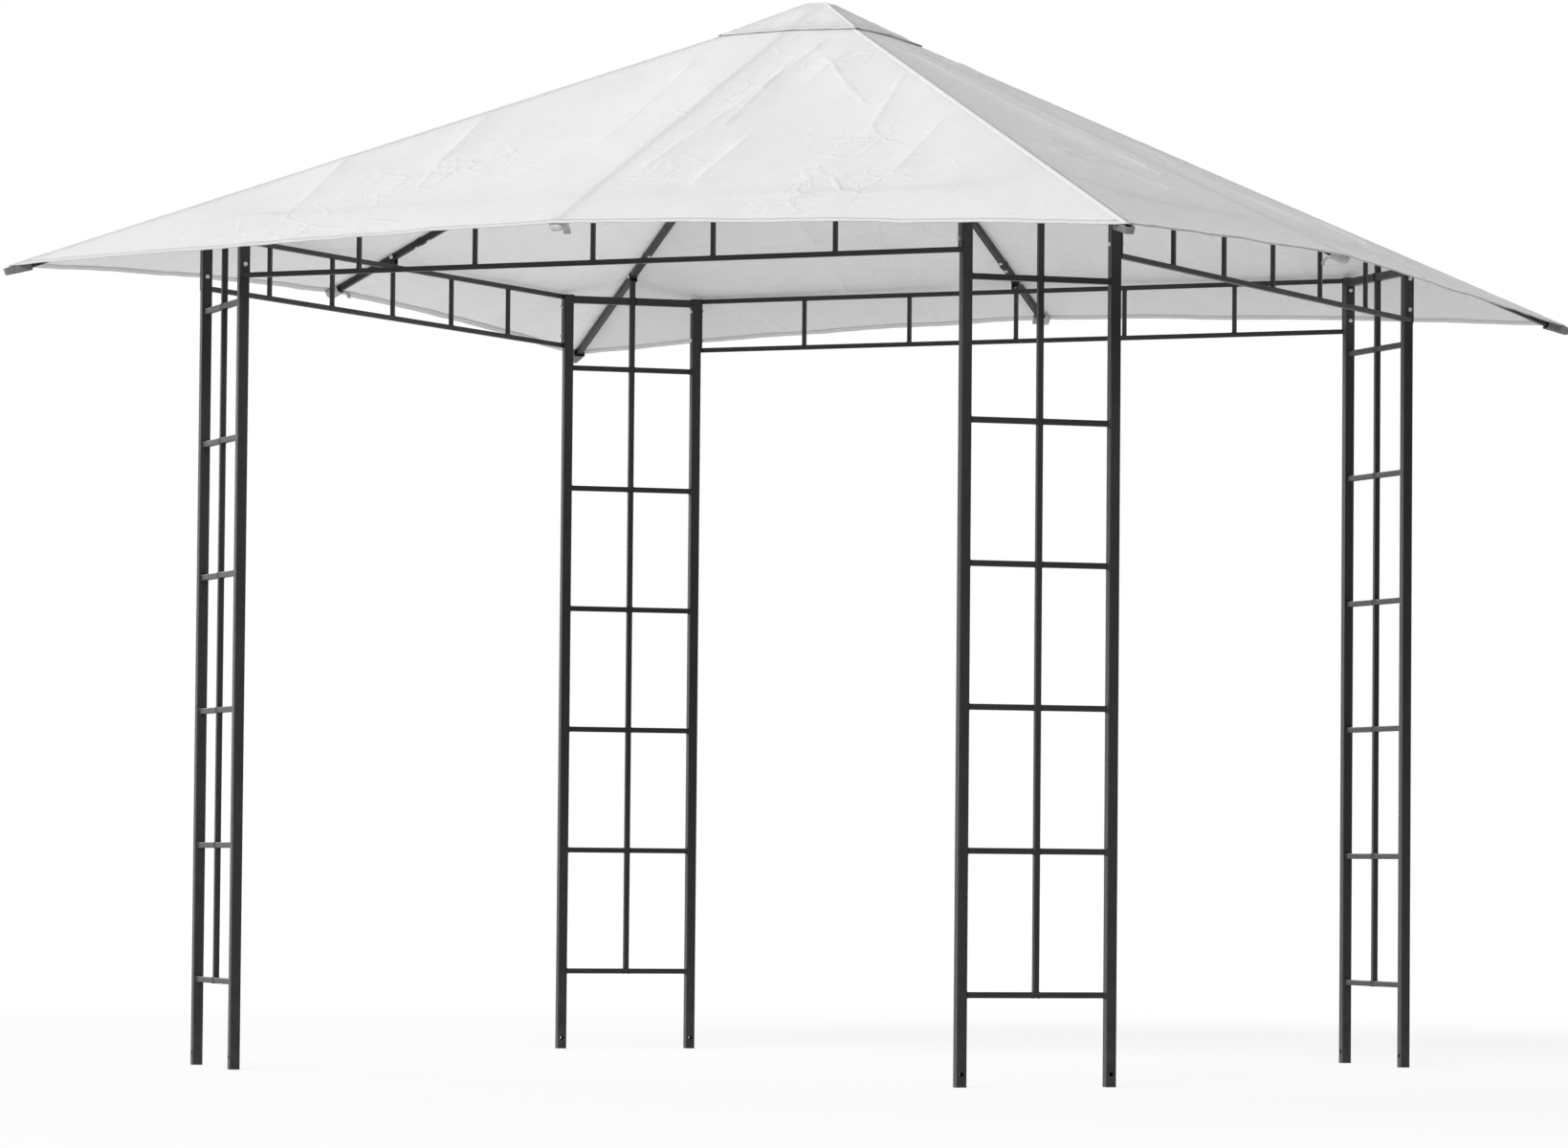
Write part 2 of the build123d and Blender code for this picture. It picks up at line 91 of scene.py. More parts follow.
for name, toward_lamp, strength, spread in (("front_lamp", (0.03, -0.85, 0.50), 2.72, 18),
                                            ("left_lamp", (-0.86, 0.34, 0.42), 1.5, 24),
                                            ("side_lamp", (0.54, -0.84, 0.45), 0.15, 10)):
    lamp = bpy.data.objects.new(name, bpy.data.lights.new(name, "SUN"))
    lamp.data.energy, lamp.data.angle = strength, math.radians(spread)
    lamp.matrix_world = Vector(toward_lamp).to_track_quat("Z", "Y").to_matrix().to_4x4()
    scene.collection.objects.link(lamp)


def bare_material(name):
    """A new material and its node tree, emptied."""
    material = bpy.data.materials.new(name)
    material.use_nodes = True
    material.node_tree.nodes.clear()
    return material, material.node_tree


floor_size = 240.0
bm = bmesh.new()
bmesh.ops.create_grid(bm, x_segments=24, y_segments=24, size=floor_size / 2)
floor_mesh = bpy.data.meshes.new("studio_floor")
bm.to_mesh(floor_mesh)
bm.free()
studio_floor = bpy.data.objects.new("studio_floor", floor_mesh)
scene.collection.objects.link(studio_floor)
pale_paint, tree = bare_material("pale_floor_paint")
place = add_node(tree, "TexCoord").outputs["Object"]
mottle = add_node(tree, "TexNoise", {"Vector": place, "Scale": 0.8, "Detail": 2.0})
paint = add_node(tree, "MapRange", {"Value": mottle.outputs["Fac"], "To Min": 0.80,
                                    "To Max": 0.84})
matt = add_node(tree, "BsdfDiffuse", {"Color": paint.outputs["Result"]})
seen = add_node(tree, "LightPath").outputs["Is Camera Ray"]
from_middle = add_node(tree, "VectorMath", {0: place}, operation="LENGTH")
paler = add_node(tree, "MapRange", {"Value": from_middle.outputs["Value"], "From Min": 2.0,
                                    "From Max": 14.0, "To Min": 0.985, "To Max": 1.10},
                 interpolation_type="SMOOTHSTEP")
bounce = add_node(tree, "MapRange", {"Value": seen, "To Min": 0.80,
                                     "To Max": paler.outputs["Result"]})
white = add_node(tree, "Emission", {"Color": (1, 1, 1, 1),
                                    "Strength": bounce.outputs["Result"]})
lifted = add_node(tree, "MixShader", {"Fac": 0.84, 1: matt.outputs[0], 2: white.outputs[0]})
add_node(tree, "OutputMaterial", {"Surface": lifted.outputs[0]})
studio_floor.data.materials.append(pale_paint)


# ---- leg panels -----------------------------------------------------------------------
# Square steel posts, a thinner centre post, rungs and a top bar, cut from tube, welded
# up as a ladder and powder coated in a fine-textured satin charcoal.
def node_group(name, inputs, outputs):
    """A shader group's tree with its named sockets, and its two end nodes."""
    group = bpy.data.node_groups.new(name, "ShaderNodeTree")
    for socket, kind, value in inputs:
        made = group.interface.new_socket(socket, in_out="INPUT",
                                          socket_type="NodeSocket" + kind)
        if value is not None:
            made.default_value = value
    for socket in outputs:
        group.interface.new_socket(socket, in_out="OUTPUT", socket_type="NodeSocketFloat")
    return group, group.nodes.new("NodeGroupInput"), group.nodes.new("NodeGroupOutput")


coat_texture, given, result = node_group(
    "coat_texture", (("Position", "Vector", None), ("Grain", "Float", 1400.0),
                     ("Drift", "Float", 9.0)), ("Shade", "Polish", "Height"))
place, grain = given.outputs["Position"], given.outputs["Grain"]
pimples = add_node(coat_texture, "TexNoise", {"Vector": place, "Scale": grain, "Detail": 1.5})
drift = add_node(coat_texture, "TexNoise", {"Vector": place, "Scale": given.outputs["Drift"],
                                            "Detail": 4.0, "Roughness": 0.6})
flow = add_node(coat_texture, "TexNoise", {"Vector": place, "Scale": 120.0, "Detail": 2.0})
speck = add_node(coat_texture, "Math", {0: pimples.outputs["Fac"], 1: flow.outputs["Fac"]},
                 operation="ADD")
cloud = add_node(coat_texture, "MapRange", {"Value": drift.outputs["Fac"], "From Min": 0.3,
                                            "From Max": 0.7})
coat_texture.links.new(cloud.outputs["Result"], result.inputs["Shade"])
coat_texture.links.new(flow.outputs["Fac"], result.inputs["Polish"])
coat_texture.links.new(speck.outputs["Value"], result.inputs["Height"])

settled_dust, given, result = node_group(
    "settled_dust", (("Position", "Vector", None), ("Reach", "Float", 0.25)), ("Mask",))
facing = add_node(settled_dust, "SeparateXYZ",
                  {0: add_node(settled_dust, "NewGeometry").outputs["Normal"]})
upward = add_node(settled_dust, "MapRange", {"Value": facing.outputs["Z"], "From Min": 0.5,
                                             "From Max": 1.0, "To Max": 0.5})
height = add_node(settled_dust, "SeparateXYZ", {0: given.outputs["Position"]})
splash = add_node(settled_dust, "MapRange", {"Value": height.outputs["Z"], "From Min": 0.0,
                                             "From Max": given.outputs["Reach"],
                                             "To Min": 0.6, "To Max": 0.0})
both = add_node(settled_dust, "Math", {0: upward.outputs["Result"],
                                       1: splash.outputs["Result"]}, operation="MAXIMUM")
patches = add_node(settled_dust, "TexNoise", {"Vector": given.outputs["Position"],
                                              "Scale": 28.0, "Detail": 5.0})
broken = add_node(settled_dust, "MapRange", {"Value": patches.outputs["Fac"],
                                             "From Min": 0.42, "From Max": 0.72})
mask = add_node(settled_dust, "Math", {0: both.outputs["Value"],
                                       1: broken.outputs["Result"]}, operation="MULTIPLY")
settled_dust.links.new(mask.outputs["Value"], result.inputs["Mask"])


def coated(name, dark, light, polish, dust, grain, relief):
    """A coated or moulded dark surface: a drifting shade, fine texture and a little dust."""
    material, tree = bare_material(name)
    place = add_node(tree, "TexCoord").outputs["Object"]
    texture = add_node(tree, "Group", node_tree=coat_texture)
    tree.links.new(place, texture.inputs["Position"])
    texture.inputs["Grain"].default_value = grain
    lying = add_node(tree, "Group", node_tree=settled_dust)
    tree.links.new(place, lying.inputs["Position"])
    shade = add_node(tree, "Mix", {"Factor": texture.outputs["Shade"], "A": (*dark, 1),
                                   "B": (*light, 1)}, data_type="RGBA")
    amount = add_node(tree, "Math", {0: lying.outputs["Mask"], 1: dust}, operation="MULTIPLY")
    dusty = add_node(tree, "Mix", {"Factor": amount.outputs["Value"], "A": shade.outputs["Result"],
                                   "B": (0.30, 0.29, 0.27, 1)}, data_type="RGBA")
    sheen = add_node(tree, "MapRange", {"Value": texture.outputs["Polish"], "From Min": 0.3,
                                        "From Max": 0.7, "To Min": polish - 0.05,
                                        "To Max": polish + 0.06})
    relief_node = add_node(tree, "Bump", {"Height": texture.outputs["Height"],
                                          "Strength": 1.0, "Distance": relief})
    skin = add_node(tree, "BsdfPrincipled", {"Base Color": dusty.outputs["Result"],
                                             "Roughness": sheen.outputs["Result"],
                                             "Normal": relief_node.outputs["Normal"]})
    add_node(tree, "OutputMaterial", {"Surface": skin.outputs[0]})
    return material


def finish_nodes(material, names):
    """Gives the frame's own pieces of those names that material."""
    for name in names:
        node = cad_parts[name]
        node.data.materials.clear()
        node.data.materials.append(material)


powder_coat = coated("powder_coat_charcoal", (0.010, 0.010, 0.0105), (0.015, 0.015, 0.0155),
                     0.42, 0.10, 1300.0, 0.00006)
corners = ("front_right", "back_right", "back_left", "front_left")
sides = ("front", "right", "back", "left")
posts = [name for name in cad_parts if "_post_" in name]
finish_nodes(powder_coat, posts + [corner + "_centre_post" for corner in corners]
             + [corner + "_rungs" for corner in corners])


def new_piece(name, bm, material, smooth=True):
    """A finished mesh as an object that rides on the frame."""
    mesh = bpy.data.meshes.new(name)
    for face in bm.faces:
        face.smooth = smooth
    bm.to_mesh(mesh)
    bm.free()
    mesh.materials.append(material)
    piece = bpy.data.objects.new(name, mesh)
    scene.collection.objects.link(piece)
    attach(piece, "root")
    return piece


# Weld beads where the rungs and the top bar meet the posts, under the powder coat.
def weld_bead(bm, seat, half, rise, spread):
    """A fillet round a square tube of that half width; seat's Z points along the tube."""
    made = bmesh.ops.create_cone(bm, cap_ends=True, segments=4, depth=rise,
                                 radius1=(half + spread) * math.sqrt(2),
                                 radius2=(half + spread * 0.15) * math.sqrt(2))
    verts = made["verts"]
    turned = Matrix.Translation((0, 0, rise / 2)) @ Matrix.Rotation(math.pi / 4, 4, "Z")
    bmesh.ops.transform(bm, matrix=seat @ turned, verts=verts)
    edges = list({edge for v in verts for edge in v.link_edges})
    bmesh.ops.subdivide_edges(bm, edges=edges, cuts=2, use_grid_fill=True)


def frame_at(origin, along, up=Vector((0, 0, 1))):
    """A place whose Z points along, with its X upright."""
    z = along.normalized()
    y = z.cross(up).normalized() if abs(z.dot(up)) < 0.99 else Vector((0, 1, 0))
    x = y.cross(z)
    return Matrix.Translation(origin) @ Matrix((x, y, z)).transposed().to_4x4()


def centre_of(node):
    low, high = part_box(node)
    return (low + high) / 2


def wander(place):
    """A direction that drifts smoothly from place to place, the same in every run."""
    return Vector((noise.noise(place), noise.noise(place + Vector((37.2, 11.7, 5.3))),
                   noise.noise(place - Vector((8.9, 23.1, 41.6)))))


def uneven(bm, size):
    """Makes a bead's surface uneven, as weld under paint is."""
    for v in bm.verts:
        v.co += wander(v.co * 400) * size


post_half, centre_half = 0.0125, 0.007
rung_half, top_bar_half, rung_count = 0.007, 0.010, 6
last_rung_drop = 0.188
post_bead, centre_bead = (0.0026, 0.0022), (0.0018, 0.0008)     # rise and spread
beads = bmesh.new()
for index, corner in enumerate(corners):
    first = centre_of(f"{corner}_post_{sides[index]}")
    second = centre_of(f"{corner}_post_{sides[(index + 1) % 4]}")
    middle = (first + second) / 2
    low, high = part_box(corner + "_rungs")
    top_bar = high.z - top_bar_half
    lowest = low.z + rung_half
    pitch = (top_bar - last_rung_drop - lowest) / (rung_count - 1)
    bars = [(lowest + pitch * step, rung_half) for step in range(rung_count)]
    bars.append((top_bar, top_bar_half))
    for height, half in bars:
        for post in (first, second):
            inward = middle - post
            inward.z = 0
            inward.normalize()
            at_post = Vector((post.x, post.y, height)) + inward * post_half
            weld_bead(beads, frame_at(at_post, inward), half, *post_bead)
            at_middle = Vector((middle.x, middle.y, height)) - inward * centre_half
            weld_bead(beads, frame_at(at_middle, -inward), half, *centre_bead)
uneven(beads, 0.00022)
rung_welds = new_piece("rung_welds", beads, powder_coat)

# ---- feet and caps --------------------------------------------------------------------
# Moulded black plastic: plugs in the feet and in the tops of the posts, and caps on the
# ends of the rafters, each pushed into its tube.
moulded_plastic = coated("moulded_black_plastic", (0.009, 0.009, 0.0095),
                         (0.014, 0.014, 0.0145), 0.58, 0.16, 700.0, 0.0001)
finish_nodes(moulded_plastic, ("foot_plugs", "post_caps", "rafter_end_caps"))

# ---- trusses --------------------------------------------------------------------------
# Between each pair of legs, two square rails with five short uprights welded between
# them, mitred and welded to flat end plates that bolt to the posts.
truss_names = [f"{side}_{part}" for side in sides
               for part in ("top_rail", "bottom_rail", "truss_bars")]
finish_nodes(powder_coat, truss_names + ["truss_end_plates"])

rail_half, bar_half, bar_count = 0.006, 0.005, 5
truss_bead = (0.0018, 0.0009)
beads = bmesh.new()
for side in sides:
    top, bottom = centre_of(side + "_top_rail"), centre_of(side + "_bottom_rail")
    low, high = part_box(side + "_truss_bars")
    span = high - low
    run = Vector((1, 0, 0)) if span.x > span.y else Vector((0, 1, 0))
    reach = max(span.x, span.y) / 2 - bar_half
    for step in range(bar_count):
        place = top + run * reach * (2 * step / (bar_count - 1) - 1)
        under_top = Vector((place.x, place.y, top.z - rail_half))
        over_bottom = Vector((place.x, place.y, bottom.z + rail_half))
        weld_bead(beads, frame_at(under_top, Vector((0, 0, -1))), bar_half, *truss_bead)
        weld_bead(beads, frame_at(over_bottom, Vector((0, 0, 1))), bar_half, *truss_bead)
uneven(beads, 0.0002)
truss_welds = new_piece("truss_welds", beads, powder_coat)

# ---- rafters and brackets -------------------------------------------------------------
# Eight square rafters, each in two lengths joined over an inner sleeve. They pivot on
# bolts in folded forks on the legs and saddles on the trusses.
rafter_names = [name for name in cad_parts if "_rafter_" in name]
finish_nodes(powder_coat, rafter_names + ["splice_sleeves", "rafter_forks", "mid_saddles"])

# ---- bolts, nuts and screws -----------------------------------------------------------
# Zinc-plated steel: domed bolts through the posts and brackets, hexagon nuts, and domed
# screws up into the sleeves and the hub.
bright_zinc, tree = bare_material("bright_zinc_plate")
place = add_node(tree, "TexCoord").outputs["Object"]
crystals = add_node(tree, "TexVoronoi", {"Vector": place, "Scale": 900.0})
stain = add_node(tree, "TexNoise", {"Vector": place, "Scale": 260.0, "Detail": 3.0})
colour = add_node(tree, "Mix", {"Factor": stain.outputs["Fac"], "A": (0.60, 0.61, 0.63, 1),
                                "B": (0.78, 0.78, 0.77, 1)}, data_type="RGBA")
dull = add_node(tree, "MapRange", {"Value": crystals.outputs["Distance"], "To Min": 0.24,
                                   "To Max": 0.42})
ripple = add_node(tree, "Bump", {"Height": stain.outputs["Fac"], "Strength": 1.0,
                                 "Distance": 0.00004})
plate = add_node(tree, "BsdfPrincipled", {"Base Color": colour.outputs["Result"],
                                          "Metallic": 1.0,
                                          "Roughness": dull.outputs["Result"],
                                          "Normal": ripple.outputs["Normal"]})
add_node(tree, "OutputMaterial", {"Surface": plate.outputs[0]})
finish_nodes(bright_zinc, ("truss_bolts", "truss_nuts", "rafter_bolts", "rafter_nuts",
                           "rafter_screws"))

# ---- hub ------------------------------------------------------------------------------
# A welded steel hub with a stub for each rafter, and a rounded disc on a stem that
# carries the middle of the vent cap without cutting it.
finish_nodes(powder_coat, ("hub", "hub_top_disc"))

# ---- canopy ---------------------------------------------------------------------------
# One roof of coated white polyester, four panels sewn along the hips, pulled over the
# rafters. It hangs slightly between them and keeps the creases of its packing.
canopy_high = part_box("canopy")[1]
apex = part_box("vent_cap")[1].z
tip = canopy_high.x
hem_past_truss = 0.202
hem_middle = -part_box("front_top_rail")[0].y - rail_half + hem_past_truss
mid_pitch, hip_pitch = 25.6, 19.65
mid_fall, hip_fall = math.tan(math.radians(mid_pitch)), math.tan(math.radians(hip_pitch))
panel_fall = hip_fall * math.sqrt(2) - mid_fall
vent_half = 0.140
hem_curve = 0.022
seam_half = 0.009
hip_sag, hem_sag = 0.014, 0.004
# each crease runs from one place to another, given along the side and out from the middle
creases = {
    0: (((-0.176, 0.356), (-0.155, 0.956)), ((-0.610, 0.630), (-0.575, 0.980)),
        ((-0.867, 0.870), (-0.822, 1.228)), ((0.142, 0.247), (0.062, 1.124)),
        ((0.106, 0.357), (0.137, 0.841)), ((0.238, 0.888), (0.248, 1.213)),
        ((0.470, 0.520), (0.549, 0.897)), ((0.708, 0.760), (0.739, 1.164)),
        ((0.230, 0.428), (0.459, 0.694)), ((-0.380, 0.820), (-0.120, 0.870)),
        ((0.170, 0.360), (0.300, 0.500)), ((0.300, 0.360), (0.190, 0.500)),
        ((0.150, 0.440), (0.340, 0.420)), ((0.240, 0.330), (0.220, 0.530))),
    1: (((0.128, 0.286), (0.297, 0.476)), ((-0.492, 0.824), (-0.302, 0.875)),
        ((-0.447, 1.005), (-0.429, 1.180)), ((-0.150, 0.300), (-0.175, 1.020)),
        ((0.520, 0.640), (0.560, 1.300)), ((0.840, 0.980), (0.850, 1.330)),
        ((-0.640, 0.850), (-0.490, 0.900)), ((-0.570, 0.920), (-0.390, 0.940)),
        ((-0.510, 0.970), (-0.330, 0.990)), ((-0.700, 0.940), (-0.560, 0.990))),
    2: (((-0.820, 0.960), (-0.850, 1.350)), ((-0.540, 0.640), (-0.560, 1.180)),
        ((-0.120, 0.300), (-0.150, 1.240)), ((0.210, 0.360), (0.190, 0.980)),
        ((0.480, 0.600), (0.520, 1.290)), ((-0.420, 0.760), (-0.050, 0.810)),
        ((0.250, 0.980), (0.760, 1.020))),
    3: (((-0.760, 0.900), (-0.800, 1.300)), ((-0.460, 0.560), (-0.440, 1.150)),
        ((-0.090, 0.280), (-0.110, 0.900)), ((0.260, 0.420), (0.240, 1.260)),
        ((0.560, 0.680), (0.600, 1.200)), ((-0.300, 0.900), (0.160, 0.860))),
}
crease_half, crease_height, crease_swell = 0.009, 0.0028, 0.0032
crease_depth = {0: 1.0, 1: 1.9, 2: 1.2, 3: 1.0}
swell_half, crease_reach = 0.06, 0.03


def on_side(x, y):
    """Which side of the roof a place is on, how far along the side, and how far out."""
    if abs(y) >= abs(x):
        return (0, x, -y) if y < 0 else (2, -x, y)
    return (1, y, x) if x > 0 else (3, -y, -x)


def off_side(side, along, out):
    """The place that far along a side and that far out."""
    return ((along, -out), (out, along), (-along, out), (-out, -along))[side]


def ramp(value, low, high):
    """Goes smoothly from 0 at low to 1 at high."""
    t = min(max((value - low) / (high - low), 0.0), 1.0)
    return t * t * (3 - 2 * t)


post_tops = [centre_of(name).xy for name in posts]


def drape(x, y):
    """How far the cloth hangs below the straight planes of the roof, or stands above."""
    side, along, out = on_side(x, y)
    share = abs(along) / max(out, 1e-6)
    belly = math.sin(math.pi * share) * ramp(out, 0.16, 0.75)
    fall = hip_sag * (1 - ramp(out, 0.75, 1.2)) + hem_sag * ramp(out, 0.75, 1.4)
    over_post = min((Vector((x, y)) - top).length for top in post_tops)
    fall *= ramp(over_post, 0.02, 0.22)
    lift = -belly * fall
    held = min(ramp(share * out, 0.0, 0.07), ramp(out - abs(along), 0.0, 0.07))
    ripple = noise.noise(Vector((x * 5, y * 5, side * 7.0)))
    crinkle = noise.noise(Vector((along * 16, out * 7, side * 3.0)))
    lift += held * ramp(over_post, 0.02, 0.12) * (0.0034 * ripple + 0.0014 * crinkle)
    for (a0, o0), (a1, o1) in creases[side]:
        run = Vector((a1 - a0, o1 - o0))
        length = run.length
        run /= length
        rel = Vector((along - a0, out - o0))
        at = rel.dot(run)
        off = abs(rel.cross(run))
        if off < swell_half and -0.02 < at < length + 0.02:
            ends = ramp(at, -0.02, 0.05) * (1 - ramp(at, length - 0.05, length + 0.02))
            uneven = 0.7 + 0.5 * noise.noise(Vector((at * 9, a0 * 31, o0 * 17)))
            sharp = max(0.0, 1 - off / crease_half)
            swell = 1 - ramp(off, 0.0, swell_half)
            bulge = crease_height * sharp + crease_swell * swell
            lift += ends * uneven * crease_depth[side] * bulge
    return lift


def roof(x, y):
    """The height of the cloth over a place."""
    side, along, out = on_side(x, y)
    return apex - mid_fall * out - panel_fall * abs(along) + drape(x, y)


def cut_across(bm, faces, point, across):
    """Parts faces along an upright plane, and returns what they have become."""
    geom = list(faces) + list({e for f in faces for e in f.edges}) + \
        list({v for f in faces for v in f.verts})
    done = bmesh.ops.bisect_plane(bm, geom=geom, dist=1e-5, plane_co=point, plane_no=across)
    return [item for item in done["geom"] if isinstance(item, bmesh.types.BMFace)]


cells = 148
cloth = bmesh.new()
flat_cut = cloth.loops.layers.uv.new("flat_cut")
ring = cloth.verts.layers.float.new("ring")
bmesh.ops.create_grid(cloth, x_segments=cells, y_segments=cells, size=1.0)
for v in cloth.verts:
    s, t = v.co.x, v.co.y
    far, near = max(abs(s), abs(t)), min(abs(s), abs(t))
    v[ring] = far
    share = near / max(far, 1e-6)
    out, along = far * hem_middle + near * (tip - hem_middle), near * tip
    out -= hem_curve * 4 * share * (1 - share) * far ** 3
    if abs(t) >= abs(s):
        v.co.x, v.co.y = math.copysign(along, s), math.copysign(out, t)
    else:
        v.co.x, v.co.y = math.copysign(out, s), math.copysign(along, t)

for across in (Vector((1, 1, 0)).normalized(), Vector((1, -1, 0)).normalized()):
    for offset in (0.0, -seam_half, seam_half):
        near = [f for f in cloth.faces if abs(f.calc_center_median().dot(across)) < 0.05]
        cut_across(cloth, near, across * offset, across)
for axis in (Vector((1, 0, 0)), Vector((0, 1, 0))):
    for hand in (-1, 1):
        near = [f for f in cloth.faces if f.calc_center_median().length < 0.3]
        cut_across(cloth, near, axis * hand * vent_half, axis)
inside = [f for f in cloth.faces
          if max(abs(f.calc_center_median().x), abs(f.calc_center_median().y)) < vent_half]
bmesh.ops.delete(cloth, geom=inside, context="FACES")
for side, runs in creases.items():
    for start, end in runs:
        a, b = Vector((*off_side(side, *start), 0)), Vector((*off_side(side, *end), 0))
        run = (b - a).normalized()
        across = run.cross(Vector((0, 0, 1)))
        near = []
        for f in cloth.faces:
            rel = f.calc_center_median() - a
            ahead = -crease_reach < rel.dot(run) < (b - a).length + crease_reach
            if abs(rel.dot(across)) < crease_reach and ahead:
                near.append(f)
        for offset in (-crease_half, 0.0, crease_half):
            near = cut_across(cloth, near, a + across * offset, across)
for v in cloth.verts:
    v.co.z = roof(v.co.x, v.co.y)
slope = math.hypot(1, mid_fall)
for f in cloth.faces:
    middle = f.calc_center_median()
    side = on_side(middle.x, middle.y)[0]
    for loop in f.loops:
        x, y = loop.vert.co.xy
        along = (x, y, -x, -y)[side]
        out = (-y, x, y, -x)[side]
        loop[flat_cut].uv = (along + side * 3.0, out * slope)

# the cloth of the hem and the hip seams is taken from the same surface, so it lies on it
hem, seams = cloth.copy(), cloth.copy()
rim = 1 - 1.01 * 2 / cells          # the hem is the outermost row of the grid
hem_ring = hem.verts.layers.float["ring"]
inner = [f for f in hem.faces if min(v[hem_ring] for v in f.verts) < rim]
bmesh.ops.delete(hem, geom=inner, context="FACES")


def beside_hip(v):
    """How far a corner of the mesh is from the nearest hip."""
    return abs(abs(v.co.x) - abs(v.co.y)) / math.sqrt(2)


away = [f for f in seams.faces if max(beside_hip(v) for v in f.verts) > seam_half + 0.0005]
bmesh.ops.delete(seams, geom=away, context="FACES")
for v in seams.verts:
    v.co.z += 0.0004 * noise.noise(v.co * 60)

woven_cloth, given, result = node_group(
    "woven_cloth", (("Position", "Vector", None), ("Thread", "Float", 0.0012)),
    ("Height", "Slub"))
threads = add_node(woven_cloth, "SeparateXYZ", {0: given.outputs["Position"]})
waves = []
for direction in ("X", "Y"):
    turns = add_node(woven_cloth, "Math", {0: threads.outputs[direction],
                                           1: given.outputs["Thread"]}, operation="DIVIDE")
    angle = add_node(woven_cloth, "Math", {0: turns.outputs["Value"], 1: math.pi},
                     operation="MULTIPLY")
    waves.append(add_node(woven_cloth, "Math", {0: angle.outputs["Value"]},
                          operation="SINE").outputs["Value"])
over_under = add_node(woven_cloth, "Math", {0: waves[0], 1: waves[1]}, operation="MULTIPLY")
slubs = []
for stretch in ((9.0, 240.0, 1.0), (240.0, 9.0, 1.0)):
    pulled = add_node(woven_cloth, "VectorMath", {0: given.outputs["Position"], 1: stretch},
                      operation="MULTIPLY")
    slubs.append(add_node(woven_cloth, "TexNoise", {"Vector": pulled.outputs["Vector"],
                                                    "Scale": 1.0,
                                                    "Detail": 2.0}).outputs["Fac"])
slub = add_node(woven_cloth, "Math", {0: slubs[0], 1: slubs[1]}, operation="ADD")
half_slub = add_node(woven_cloth, "Math", {0: slub.outputs["Value"], 1: 0.5},
                     operation="MULTIPLY")
woven_cloth.links.new(over_under.outputs["Value"], result.inputs["Height"])
woven_cloth.links.new(half_slub.outputs["Value"], result.inputs["Slub"])

crumples, given, result = node_group(
    "crumples", (("Position", "Vector", None), ("Size", "Float", 9.0),
                 ("Amount", "Float", 0.5)), ("Height",))
place = given.outputs["Position"]
warp = add_node(crumples, "TexNoise", {"Vector": place, "Scale": 5.0, "Detail": 3.0})
bent = add_node(crumples, "VectorMath", {0: warp.outputs["Color"], 1: (0.10, 0.10, 0.10)},
                operation="MULTIPLY")
moved = add_node(crumples, "VectorMath", {0: place, 1: bent.outputs["Vector"]},
                 operation="ADD")
heights = []
for times, width in ((1.0, 0.10), (2.6, 0.14)):
    size = add_node(crumples, "Math", {0: given.outputs["Size"], 1: times},
                    operation="MULTIPLY")
    cellular = add_node(crumples, "TexVoronoi", {"Vector": moved.outputs["Vector"],
                                                 "Scale": size.outputs["Value"]},
                        feature="DISTANCE_TO_EDGE")
    crest = add_node(crumples, "MapRange", {"Value": cellular.outputs["Distance"],
                                            "From Min": 0.0, "From Max": width,
                                            "To Min": 1.0, "To Max": 0.0},
                     interpolation_type="SMOOTHSTEP")
    heights.append(crest.outputs["Result"])
lots = add_node(crumples, "Math", {0: heights[1], 1: 0.4}, operation="MULTIPLY")
total = add_node(crumples, "Math", {0: heights[0], 1: lots.outputs["Value"]}, operation="ADD")
where = add_node(crumples, "TexNoise", {"Vector": place, "Scale": 2.3, "Detail": 1.0})
least = add_node(crumples, "Math", {0: 0.85, 1: given.outputs["Amount"]},
                 operation="SUBTRACT")
patch = add_node(crumples, "MapRange", {"Value": where.outputs["Fac"],
                                        "From Min": least.outputs["Value"],
                                        "From Max": 0.75})
held = add_node(crumples, "Math", {0: total.outputs["Value"], 1: patch.outputs["Result"]},
                operation="MULTIPLY")
crumples.links.new(held.outputs["Value"], result.inputs["Height"])


